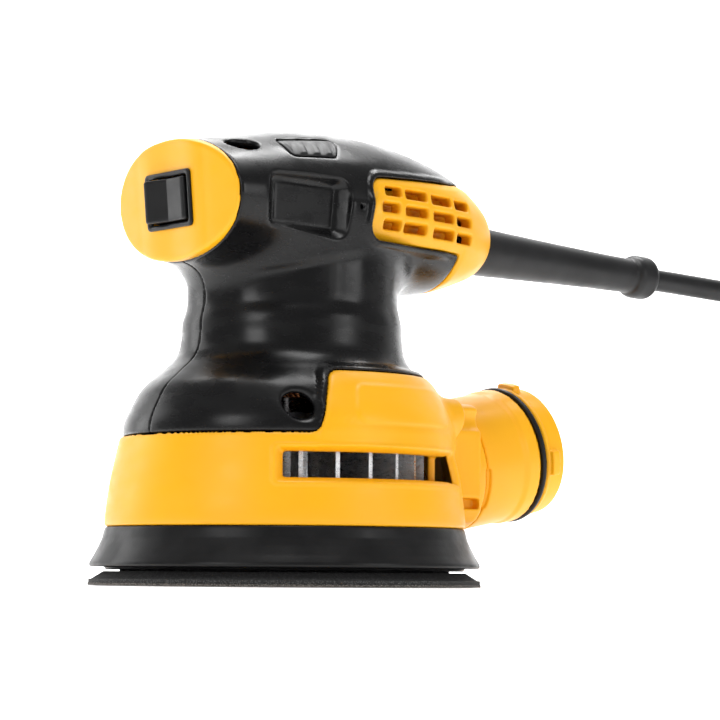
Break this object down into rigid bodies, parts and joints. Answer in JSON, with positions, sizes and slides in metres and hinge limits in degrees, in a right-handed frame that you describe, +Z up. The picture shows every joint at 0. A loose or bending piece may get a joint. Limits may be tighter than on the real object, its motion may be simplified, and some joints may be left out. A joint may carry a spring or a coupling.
{
  "type": "random orbit sander",
  "caption": "Compact palm sander with a round hook-and-loop pad on an orbiting spindle, a rocker switch, a side-vented shroud, a rear dust outlet and a coiled mains cord.",
  "frame": {"origin": "on the motor axis, in the plane of the abrasive face, which rests on the surface", "axes": "+Z up along the motor axis, -Y to the front with the switch, +Y to the rear with the cord and dust outlet, +X to the tool's right side seen from behind"},
  "size_m": [0.16, 0.4392, 0.1459],
  "materials": {
    "yellow_plastic": "moulded, satin",
    "black_plastic": "moulded, satin",
    "black_rubber": "moulded",
    "grip_rubber": "ribbed",
    "switch_plastic": "moulded",
    "foam": "closed-cell foam",
    "hook_fabric": "hook and loop",
    "abrasive": "coated with grit",
    "pad_plastic": "glass filled",
    "steel": "turned",
    "screw_steel": "black oxide",
    "cast_metal": "die cast",
    "fan_metal": "bright",
    "laminations": "varnished laminations",
    "copper": "enamelled wire",
    "brass": "pressed",
    "carbon": "pressed carbon",
    "cord_rubber": "cord jacket",
    "tie_strap": "woven strap"
  },
  "bodies": {
    "root": {"stator_core": "laminations", "field_coils": "copper", "brushes": "carbon", "brush_holders": "brass", "brush_springs": "steel", "upper_bearing": "steel", "bearing_boot": "black_rubber", "lower_bearing": "steel", "bearing_plate": "cast_metal", "plate_screws": "screw_steel", "housing_right": "black_plastic", "housing_left": "black_plastic", "housing_screws": "screw_steel", "grip_pads": "grip_rubber", "front_cap": "yellow_plastic", "switch_bezel": "switch_plastic", "switch_body": "switch_plastic", "rear_cover": "yellow_plastic", "shroud": "yellow_plastic", "shroud_screws": "screw_steel", "dust_port": "yellow_plastic", "port_seal": "black_rubber", "skirt": "black_rubber", "cord_guard": "cord_rubber", "cord_clamp": "black_plastic", "clamp_screws": "screw_steel", "cord_lead": "cord_rubber", "cord_coil": "cord_rubber", "cord_tie": "tie_strap", "cord_tail": "cord_rubber", "plug_body": "cord_rubber", "plug_blades": "brass"},
    "rotor": {"motor_shaft": "steel", "armature_core": "laminations", "armature_winding": "copper", "commutator": "copper", "fan": "fan_metal", "counterweight": "cast_metal", "pad_bearing": "steel"},
    "pad": {"pad_spindle": "steel", "pad_screws": "screw_steel", "pad_hub": "pad_plastic", "pad_foam": "foam", "hook_layer": "hook_fabric", "sanding_disc": "abrasive"},
    "rocker": {"switch_rocker": "switch_plastic"}
  },
  "joints": [
    {"name": "motor_spin", "type": "hinge", "parent": "root", "child": "rotor", "pos_m": [0, 0, 0.05], "axis": [0, 0, 1], "continuous": true},
    {"name": "pad_spin", "type": "hinge", "parent": "rotor", "child": "pad", "pos_m": [0.00095, -0.00073, 0.0175], "axis": [0, 0, 1], "continuous": true},
    {"name": "switch_toggle", "type": "hinge", "parent": "root", "child": "rocker", "pos_m": [0, -0.04369, 0.12015], "axis": [0, -0.0872, 0.9962], "range_deg": [-14, 0]}
  ]
}
